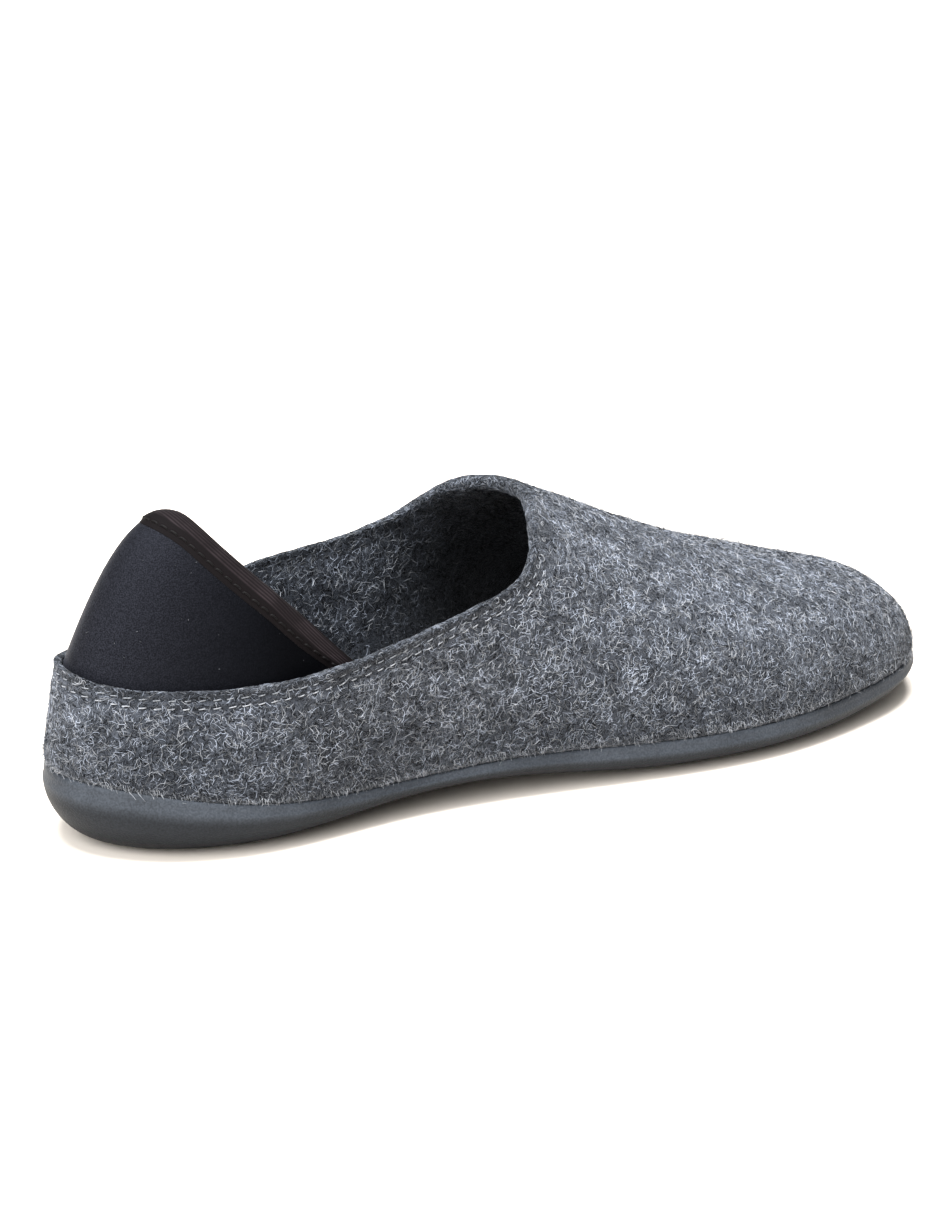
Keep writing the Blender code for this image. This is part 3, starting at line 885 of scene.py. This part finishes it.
for wool in WOOLS:
    plain_name = wool.name.replace("_", " ")
    fibre = shaded_material(
        plain_name, wool.colour, WOOL_SHADES, scale=150.0, roughness=0.8, shine=0.12, toned=True
    )
    wool_random = np.random.default_rng(wool.seed)
    places, outs, chosen = wool_paths(
        wool.count, LYING_LENGTH, LYING_STEPS, wool_random, wool.gathers
    )
    middle = np.sin(np.pi * np.linspace(0, 1, LYING_STEPS + 1))
    arch = LYING_ARCH * wool_random.uniform(*LYING_ARCHES, wool.count)[:, None]
    paths = places + outs * (arch * middle - LYING_SUNK * (1 - middle))[..., None]
    aside = unit(np.cross(outs, np.gradient(paths, axis=1)))
    tilt = wool_random.normal(0, LYING_TILT, wool.count)[:, None, None]
    aside = aside * np.cos(tilt) + outs * np.sin(tilt)
    width = wool.width * wool_random.uniform(*FIBRE_WIDTHS, wool.count)
    fibres = ribbon_piece(wool.name, paths, aside, width)
    # The fibres take the felt's tone, painted shade included, from the cell they start in
    paint(fibres, "tone", np.repeat(cell_tone_and_painted_shade[chosen], (LYING_STEPS + 1) * 2))
    dress(fibres, fibre, "upper_felt")

standing_wool = shaded_material(
    "standing wool", FUZZ_COLOUR, FUZZ_SHADES, scale=300.0, roughness=0.7, shine=0.3, toned=True
)
fuzz_wool = shaded_material("wool fuzz", FUZZ_COLOUR, FUZZ_SHADES, scale=300.0, roughness=0.7, shine=0.3)

fuzz_random = np.random.default_rng(FUZZ_SEED)
places, outs, chosen = wool_paths(FUZZ_COUNT, FUZZ_LENGTH, FUZZ_STEPS, fuzz_random)
tallness = fuzz_random.random((FUZZ_COUNT, 1)) ** 2
tallness *= ease(*RIM_FUZZ_FROM, from_rim[:-1].ravel()[chosen])[:, None]
stand = blend(FUZZ_STAND, tallness) * np.linspace(0, 1, FUZZ_STEPS + 1)
paths = places + outs * stand[..., None]
aside = unit(np.cross(np.gradient(paths, axis=1), fuzz_random.normal(size=(FUZZ_COUNT, 1, 3))))
fuzz = ribbon_piece("wool_fuzz", paths, aside, np.full(FUZZ_COUNT, FUZZ_WIDTH))
# The fuzz takes the felt's tone, painted shade included, from the cell it starts in
paint(fuzz, "tone", np.repeat(cell_tone_and_painted_shade[chosen], (FUZZ_STEPS + 1) * 2))
dress(fuzz, standing_wool, "upper_felt")


def forwards(share):
    """The level direction along the felt at each place on the sole line."""
    return np.roll(sideways(share), 1, axis=1) * [-1, 1, 0]


# Frayed ends hang over the gap between the felt and the sole's lip
around = fuzz_random.random(FRAY_COUNT)
start = felt_outside(around, fuzz_random.uniform(*FRAY_HEIGHTS, FRAY_COUNT))
reach = FRAY_LENGTH * fuzz_random.uniform(*FRAY_LENGTHS, (FRAY_COUNT, 1))
along = forwards(around) * fuzz_random.normal(0, FRAY_ASKEW, (FRAY_COUNT, 1))
bend = start + (sideways(around) * FRAY_BEND[0] + along * FRAY_BEND[1]) * reach
end = bend + (sideways(around) * FRAY_END[0] + along * FRAY_END[1] - FRAY_DROP) * reach
fray = tube_piece("wool_fray", np.stack([start, bend, end], axis=1), FRAY_RADIUS, sides=3)
dress(fray, fuzz_wool, "upper_felt")

# A few long fibres have worked loose and curl, two in three at the collar and the rest above the sole
around = fuzz_random.random(CURL_COUNT)
height = np.where(np.arange(CURL_COUNT) % 3 > 0, CURL_AT_COLLAR, CURL_AT_SOLE)
start = felt_outside(around, height)
out = felt_normal(around, height)
up = unit(np.cross(out, forwards(around)))
along = np.cross(up, out)
turn = np.linspace(0, 1, CURL_STEPS) * fuzz_random.uniform(*CURL_TURNS, (CURL_COUNT, 1))
size = CURL_LENGTH * fuzz_random.uniform(*CURL_LENGTHS, (CURL_COUNT, 1)) / (2 * np.pi)
lean = fuzz_random.choice([-1.0, 1.0], (CURL_COUNT, 1))
paths = start[:, None]
for reach, direction in (
    (size * np.sin(turn), up),
    (lean * size * (1 - np.cos(turn)), along),
    (CURL_RISE * size * turn, out),
):
    paths = paths + reach[..., None] * direction[:, None]
curls = tube_piece("wool_curls", paths, CURL_RADIUS, sides=4)
dress(curls, fuzz_wool, "upper_felt")


# Collar stitching: two rows of pale grey thread round the collar that hold its edge flat. They are
# sewn through the felt, so the same rows show inside, and they sink a little into it.
StitchRow = namedtuple("StitchRow", "name below_rim depth colour stand seed")
COLLAR_STITCHES = [
    StitchRow("outside_upper", STITCH_ROWS[0], 0.0, (0.18, 0.193, 0.212, 1), 0.17, 21),
    StitchRow("outside_lower", STITCH_ROWS[1], 0.0, (0.25, 0.263, 0.285, 1), 0.2, 22),
    # The inside rows are the same thread as outside, darkened with painted shade
    StitchRow("inside_upper", STITCH_ROWS[0], FELT_EDGE, (0.033, 0.036, 0.04, 1), -0.02, 23),
    StitchRow("inside_lower", STITCH_ROWS[1], FELT_EDGE, (0.044, 0.047, 0.052, 1), 0.0, 24),
]
THREAD_RADIUS = 0.165
THREAD_SHADES = (0.6, 1.2)
STITCH_PITCH = 3.7
STITCH_LENGTH = 2.3
STITCH_DIP = 0.45
STITCH_FLATNESS = 5
STITCH_SLANT = 0.07
STITCH_UNEVEN = 0.07
STITCH_SUNK = 0.7
STITCH_LENGTHS = (0.8, 1.1)
STITCH_ASTRAY = 0.05
STITCH_POINTS = 7
THROAT_FROM = (124.0, 132.0)
ROW_POINTS = 1200
ROW_DEPTHS = np.linspace(0, 0.3, 40)


def row_below_rim(distance, depth):
    """A line round the collar at a distance below its edge, on the felt's outside or inside."""
    around = np.linspace(0, 1, ROW_POINTS, endpoint=False)
    columns = np.array([inside_felt(around, np.full_like(around, h), depth) for h in 1 - ROW_DEPTHS])
    down = np.linalg.norm(np.diff(columns, axis=0), axis=2)
    down = np.concatenate([np.zeros((1, len(around))), np.cumsum(down, axis=0)])
    line = [
        [np.interp(distance, down[:, i], columns[:, i, k]) for k in range(3)] for i in range(len(around))
    ]
    return np.array(line)


def lengths_along(line):
    """The way travelled from the start of a line to each of its points."""
    return np.append(0, np.cumsum(np.linalg.norm(np.diff(line, axis=0), axis=1)))


def points_at(at, travelled, line, period=None):
    """Points of a line, or directions along it, after travelling a given way."""
    return np.stack([np.interp(at, travelled, line[:, k], period=period) for k in range(3)], axis=-1)


def stitches_along(line, stand, random):
    """Thread paths along a closed line, each standing off the felt and dipping into it at its ends."""
    closed = np.concatenate([line, line[:1]])
    travelled = lengths_along(closed)
    count = int(travelled[-1] / STITCH_PITCH)
    centres = np.arange(count) + 0.5 + random.normal(0, STITCH_ASTRAY, count)
    centres = centres * travelled[-1] / count
    along = np.linspace(-1, 1, STITCH_POINTS)
    length = STITCH_LENGTH * random.uniform(*STITCH_LENGTHS, count)[:, None]
    at = centres[:, None] + along * length / 2
    paths = points_at(at, travelled, closed, period=travelled[-1])
    places, out = onto_felt(paths.reshape(-1, 3))
    places = places.reshape(paths.shape)
    out = out.reshape(paths.shape)
    sunk = STITCH_SUNK * ease(*THROAT_FROM, paths[:, STITCH_POINTS // 2, 0])
    stands = (stand - sunk + random.normal(0, STITCH_UNEVEN, count))[:, None]
    height = stands - (stands + STITCH_DIP) * np.abs(along) ** STITCH_FLATNESS
    aside = np.cross(out, unit(np.gradient(paths, axis=1)))
    slant = along * length * STITCH_SLANT
    return places + out * height[..., None] + aside * slant[..., None]


for row in COLLAR_STITCHES:
    name = f"collar thread {row.name}"
    thread = shaded_material(
        name, row.colour, THREAD_SHADES, scale=1600.0, roughness=0.7, shine=0.3, twisted=True
    )
    line = row_below_rim(row.below_rim, row.depth)
    paths = stitches_along(line, row.stand, np.random.default_rng(row.seed))
    stitches = tube_piece(f"collar_stitches_{row.name}", paths, THREAD_RADIUS, sides=5)
    dress(stitches, thread, "upper_felt")


# Heel panel: a soft stretch panel of dark foam with a smooth cloth face, sewn inside the collar at
# the heel. It stands up behind the foot, leans in over the shoe and folds down when stepped on.
PANEL_THICKNESS = 2.0
PANEL_PEAK_X = 37.0
PANEL_PEAK_Z = 81.3
PANEL_PEAK_RUN_ROUND = 0.65
PANEL_PEAK_RISE_ROUND = 0.37
PANEL_END_RISE = 2.0
PANEL_END_DIP = 0.15
PANEL_TUCK = 0.3
PANEL_TUCK_ROWS = 4
PANEL_END_SECTION = 3
PANEL_BOW_RUN = 0.58
PANEL_BOW_RISE = 1.22
PANEL_END_CLEARANCE = 1.4
PANEL_COLUMNS = 121
PANEL_ROWS = 33
CLOTH_COLOUR = (0.0021, 0.0022, 0.00275, 1)
CLOTH_GRAIN = Ramp(0.36, 0.68, 0.5, 2.0)
# Painted light: the cloth is lighter over the back of the heel and darker towards the panel's ends
PANEL_PAINTED_LIGHT = (4.4, 0.35)
PANEL_PAINTED_LIGHT_FADE = (0.05, 0.75)
PANEL_SMOOTHING = 24
LINT_COLOUR = (0.066, 0.07, 0.077, 1)
LINT_SHADES = (0.3, 1.4)
LINT_COUNT = 40
LINT_RADIUS = 0.09
LINT_LENGTHS = (0.02, 0.2)
LINT_REACH = 1.6
LINT_ARCH = 0.1
LINT_FROM_EDGE = 6
LINT_FROM_SIDE = 12
LINT_SEED = 31

# Shares of the way to the panel's ends over which it clears the felt, dips at its foot and straightens
PANEL_CLEARS = (0.65, 0.88)
PANEL_DIPS = (0.5, 0.95)
PANEL_STRAIGHTENS = (0.6, 0.95)


def rounded(reach, softness):
    """From 0 to 1 with reach, level at the start over about the softness and nearly straight after it."""
    return (np.hypot(reach, softness) - softness) / (np.hypot(1, softness) - softness)


def panel_middle(across):
    """The panel's middle surface. across runs from -1 on the inner side, over the heel's back, to 1."""
    share = across * OUTER_KNOTS[PANEL_END_SECTION]
    clear = GAP + PANEL_END_CLEARANCE * ease(*PANEL_CLEARS, np.abs(across))
    inward = clear + PANEL_THICKNESS / 2
    leaves = 1 - PANEL_END_DIP * ease(*PANEL_DIPS, np.abs(across))
    levels = [leaves - below for below in np.linspace(PANEL_TUCK, 0, PANEL_TUCK_ROWS)]
    rows = [inside_felt(share, level, wall(share, level) + inward) for level in levels]
    foot = rows[-1]
    upward = foot - rows[-2]
    upward *= PANEL_END_RISE / np.linalg.norm(upward, axis=1)[:, None]
    end = (foot + upward)[np.where(across > 0, -1, 0)]
    peak = np.array([PANEL_PEAK_X, 0, PANEL_PEAK_Z])
    reach = np.abs(across)[:, None]
    run = rounded(reach, PANEL_PEAK_RUN_ROUND)
    rise = rounded(reach, PANEL_PEAK_RISE_ROUND)
    edge = peak + (end - peak) * np.concatenate([run, reach, rise], axis=1)
    curl = np.array([PANEL_BOW_RUN, PANEL_BOW_RUN, PANEL_BOW_RISE])
    bow = foot + (edge - foot) * blend((curl, 0.5), ease(*PANEL_STRAIGHTENS, reach))
    for u in np.linspace(0, 1, PANEL_ROWS)[1:]:
        rows.append((1 - u) ** 2 * foot + 2 * u * (1 - u) * bow + u**2 * edge)
    return np.array(rows)


even = np.linspace(-1, 1, PANEL_COLUMNS)
panel_across = (even + np.sin(np.pi / 2 * even)) / 2
panel_points = panel_middle(panel_across)
panel_out = np.cross(np.gradient(panel_points, axis=1), np.gradient(panel_points, axis=0))
for _ in range(PANEL_SMOOTHING):
    panel_out = unit(panel_out)
    panel_out[:, 1:-1] = (panel_out[:, :-2] + 2 * panel_out[:, 1:-1] + panel_out[:, 2:]) / 4
    panel_out[:, 0] = panel_out[:, 3]
    panel_out[:, -1] = panel_out[:, -4]
panel_out = unit(panel_out)

cloth, tree, shader = new_material(
    "heel cloth",
    {
        "Roughness": 0.52,
        "Specular IOR Level": 0.07,
        "Specular Tint": (0.72, 0.78, 1.0, 1),
        "Sheen Weight": 0.07,
        "Sheen Roughness": 0.35,
        "Sheen Tint": (0.75, 0.8, 0.95, 1),
    },
)
grain = use_group(tree, fine_grain, {"Grain Scale": 3300.0, "Cloud Scale": 55.0})
# The cloth's colour carries painted light, lighter at the back of the heel and darker towards the ends
worn = painted(tree, "worn")
shade = maths(tree, "MULTIPLY", between(tree, grain["Height"], *CLOTH_GRAIN), worn)
tree.links.new(mixed(tree, 1.0, CLOTH_COLOUR, shade, "MULTIPLY"), shader["Base Color"])
tree.links.new(bumped(tree, grain["Height"], depth=0.2, strength=0.8), shader["Normal"])

half = PANEL_THICKNESS / 2
rings = []
for i in range(PANEL_COLUMNS):
    front = panel_points[:, i] + panel_out[:, i] * half
    behind = panel_points[:, i] - panel_out[:, i] * half
    rings.append(np.concatenate([front, behind[::-1]]))
heel_panel = loft("heel_panel_cloth", rings)
# Painted light across the panel, strongest at the back of the heel
worn = blend(PANEL_PAINTED_LIGHT, ease(*PANEL_PAINTED_LIGHT_FADE, np.abs(panel_across)))
paint(heel_panel, "worn", np.repeat(worn, 2 * len(panel_points)))
dress(heel_panel, cloth, "heel_foam_cloth", "heel_panel")

# Specks of lint cling to the cloth
lint_wool = shaded_material("lint", LINT_COLOUR, LINT_SHADES, scale=500.0, roughness=0.8, shine=0.2)
lint_random = np.random.default_rng(LINT_SEED)
row = lint_random.integers(LINT_FROM_EDGE, PANEL_ROWS - LINT_FROM_EDGE, LINT_COUNT)
column = lint_random.integers(LINT_FROM_SIDE, PANEL_COLUMNS - LINT_FROM_SIDE, LINT_COUNT)
out = panel_out[row, column] * lint_random.choice([-1.0, 1.0, 1.0], (LINT_COUNT, 1))
start = panel_points[row, column] + out * (half + LINT_RADIUS / 2)
heading = np.cross(out, lint_random.normal(size=(LINT_COUNT, 3)))
heading *= lint_random.uniform(*LINT_LENGTHS, (LINT_COUNT, 1))
bend = start + heading + out * LINT_ARCH
end = start + heading * LINT_REACH + out * (LINT_ARCH / 2)
paths = np.stack([start, bend, end], axis=1)
lint = tube_piece("panel_lint", paths, LINT_RADIUS, sides=4)
dress(lint, lint_wool, "heel_foam_cloth")


# Heel tape: a brown-black woven tape with fine lengthwise ribs, folded over the panel's free edge.
# One row of dark thread near its lower edge sews both legs of the fold through the panel.
TAPE_THICKNESS = 0.5
TAPE_WIDTH = 8.4
TAPE_GAP = 0.3
TAPE_END_TAPER = 0.3
TAPE_TAPERS = (0.6, 0.97)
TAPE_PEAK_EXTRA = 0.22
TAPE_NARROWS = (0.0, 0.3)
RIB_PITCH = 0.8
RIB_HEIGHT = 0.1
RIBBED_SHARE = 0.62
LEG_POINTS = 42
FOLD_POINTS = 11
FOLD_SQUARENESS = 0.6
TAPE_BEVEL = 2.4
TAPE_PRESSED = 0.85
TAPE_END_COLUMNS = 2
TAPE_COLOUR = (0.0056, 0.0045, 0.005, 1)
# Colour of the painted highlight on the rib crests
TAPE_RIB_HIGHLIGHT_COLOUR = (0.028, 0.0222, 0.0247, 1)
TAPE_LIT = Ramp(0.3, 0.7, 0.4, 1.0)
TAPE_STITCH_FROM_EDGE = 1.5
TAPE_STITCH_PITCH = 3.0
TAPE_STITCH_LENGTH = 2.3
TAPE_STITCH_POINTS = 9
TAPE_STITCH_STAND = 0.16
TAPE_STITCH_DIP = 0.5
TAPE_STITCH_END_COLUMNS = 4
TAPE_STITCH_PANEL_ROW = -4
TAPE_THREAD_RADIUS = 0.25
TAPE_THREAD_COLOUR = (0.0034, 0.0029, 0.0033, 1)
TAPE_THREAD_SHADES = (0.6, 1.3)

tape_cloth, tree, shader = new_material(
    "heel tape",
    {"Roughness": 0.75, "Specular IOR Level": 0.08, "Sheen Weight": 0.06, "Sheen Roughness": 0.3},
)
grain = use_group(tree, fine_grain, {"Grain Scale": 2200.0, "Cloud Scale": 150.0})
# The crests of the ribs carry a painted highlight in soft patches
rib_top = painted(tree, "rib_top")
lit = maths(tree, "MULTIPLY", rib_top, between(tree, grain["Cloud"], *TAPE_LIT))
tree.links.new(mixed(tree, lit, TAPE_COLOUR, TAPE_RIB_HIGHLIGHT_COLOUR), shader["Base Color"])
tree.links.new(bumped(tree, grain["Height"], depth=0.1, strength=0.6), shader["Normal"])

near = PANEL_THICKNESS / 2 + TAPE_GAP
far = near + TAPE_THICKNESS
thick = TAPE_GAP + TAPE_THICKNESS
fold = np.radians(np.linspace(0, 180, FOLD_POINTS + 2)[1:-1])
fold_out = np.sign(np.cos(fold)) * np.abs(np.cos(fold)) ** FOLD_SQUARENESS
fold_up = np.sin(fold) ** FOLD_SQUARENESS
leg = np.linspace(1, 0, LEG_POINTS)
leg_signs = np.concatenate([np.ones(LEG_POINTS), fold_out, -np.ones(LEG_POINTS)])
leg_folds = np.concatenate([np.zeros(LEG_POINTS), fold_up, np.zeros(LEG_POINTS)])
leg_down = np.concatenate([leg, np.zeros(len(fold)), leg[::-1]])
tape_width = TAPE_WIDTH * (1 - TAPE_END_TAPER * ease(*TAPE_TAPERS, np.abs(panel_across)))
tape_width *= 1 + TAPE_PEAK_EXTRA * (1 - ease(*TAPE_NARROWS, np.abs(panel_across)))


def on_tape(column, down, offset, above):
    """Points of the tape at distances down the panel from its edge, offset from the panel's middle."""
    line = panel_points[::-1, column]
    travelled = lengths_along(line)
    places = points_at(down, travelled, line)
    out = points_at(down, travelled, panel_out[::-1, column])
    return places + out * offset[..., None] + unit(line[0] - line[1]) * above[..., None]


def pressed(column, down):
    """How far the tape is pressed flat, which grows over the bevel at its lower edge."""
    return TAPE_PRESSED * ease(tape_width[column] - TAPE_BEVEL, tape_width[column], down)


rings = []
tops = []
for column in range(TAPE_END_COLUMNS, PANEL_COLUMNS - TAPE_END_COLUMNS):
    down = tape_width[column] * leg_down
    ribbed = (down > 0) & (down < tape_width[column] * RIBBED_SHARE)
    rib = np.where(ribbed, (1 + np.cos(2 * np.pi * down / RIB_PITCH)) / 2, 0)
    flat = pressed(column, down)
    outer = leg_signs * (far - thick * flat + RIB_HEIGHT * rib)
    outer = on_tape(column, down, outer, leg_folds * thick)
    inner = on_tape(column, down, leg_signs * (near - TAPE_GAP * flat), leg_folds * TAPE_GAP)
    rings.append(np.concatenate([outer, inner[::-1]]))
    tops.append(np.concatenate([rib, 0 * rib]))
heel_tape = loft("heel_tape_ribbed", rings)
paint(heel_tape, "rib_top", tops)
dress(heel_tape, tape_cloth, "heel_tape_ribbed", "heel_tape")

tape_thread = shaded_material(
    "tape thread",
    TAPE_THREAD_COLOUR,
    TAPE_THREAD_SHADES,
    scale=1800.0,
    roughness=0.6,
    shine=0.2,
    twisted=True,
)
seam_columns = range(TAPE_STITCH_END_COLUMNS, PANEL_COLUMNS - TAPE_STITCH_END_COLUMNS)
along = np.linspace(-1, 1, TAPE_STITCH_POINTS)
height = TAPE_STITCH_STAND - TAPE_STITCH_DIP * np.abs(along) ** STITCH_FLATNESS
for side, sign in (("outside", 1.0), ("inside", -1.0)):
    line = []
    for column in seam_columns:
        down = np.array([tape_width[column] - TAPE_STITCH_FROM_EDGE])
        offset = sign * (far - thick * pressed(column, down))
        line.append(on_tape(column, down, offset, np.zeros(1))[0])
    line = np.array(line)
    facing = panel_out[TAPE_STITCH_PANEL_ROW, seam_columns] * sign
    travelled = lengths_along(line)
    centres = np.arange(TAPE_STITCH_PITCH, travelled[-1] - TAPE_STITCH_PITCH, TAPE_STITCH_PITCH)
    at = centres[:, None] + along * TAPE_STITCH_LENGTH / 2
    paths = points_at(at, travelled, line) + points_at(at, travelled, facing) * height[:, None]
    seam = tube_piece(f"tape_stitches_{side}", paths, TAPE_THREAD_RADIUS, sides=6)
    dress(seam, tape_thread, "heel_tape_ribbed")


# Studio: a plain white floor under an even white sky, with a broad soft light from above and another
# from the left. The floor is bright enough to come out white away from the shoe's own shadow.
FLOOR_HALF = 8.0
FLOOR_COLOUR = (0.76, 0.71, 0.65, 1)
FLOOR_SHADES = (0.985, 1.0)
SKY_STRENGTH = 0.35
SoftLight = namedtuple("SoftLight", "name strength spread towards")
SOFT_LIGHTS = [
    SoftLight("overhead", 6.3, np.radians(30), Vector((-0.12, -0.1, 1.0))),
    SoftLight("left", 4.4, np.radians(50), Vector((-0.85, -0.5, 0.66))),
]

floor_mesh = bpy.data.meshes.new("floor")
corners = [(-1, -1), (1, -1), (1, 1), (-1, 1)]
floor_mesh.from_pydata([(x * FLOOR_HALF, y * FLOOR_HALF, 0) for x, y in corners], [], [(0, 1, 2, 3)])
floor = bpy.data.objects.new("floor", floor_mesh)
bpy.context.scene.collection.objects.link(floor)
paper = shaded_material("floor paper", FLOOR_COLOUR, FLOOR_SHADES, scale=3.0, roughness=0.9, shine=0.1)
floor.data.materials.append(paper)

sky = bpy.data.worlds.new("studio sky")
sky.use_nodes = True
background = sky.node_tree.nodes["Background"].inputs
background["Color"].default_value = (1, 1, 1, 1)
background["Strength"].default_value = SKY_STRENGTH
bpy.context.scene.world = sky

for soft_light in SOFT_LIGHTS:
    lamp = bpy.data.lights.new(soft_light.name, "SUN")
    lamp.energy = soft_light.strength
    lamp.angle = soft_light.spread
    light = bpy.data.objects.new(soft_light.name, lamp)
    light.rotation_euler = soft_light.towards.to_track_quat("Z", "Y").to_euler()
    bpy.context.scene.collection.objects.link(light)

bpy.context.scene.view_settings.view_transform = "Standard"
bpy.context.scene.view_settings.look = "Medium High Contrast"
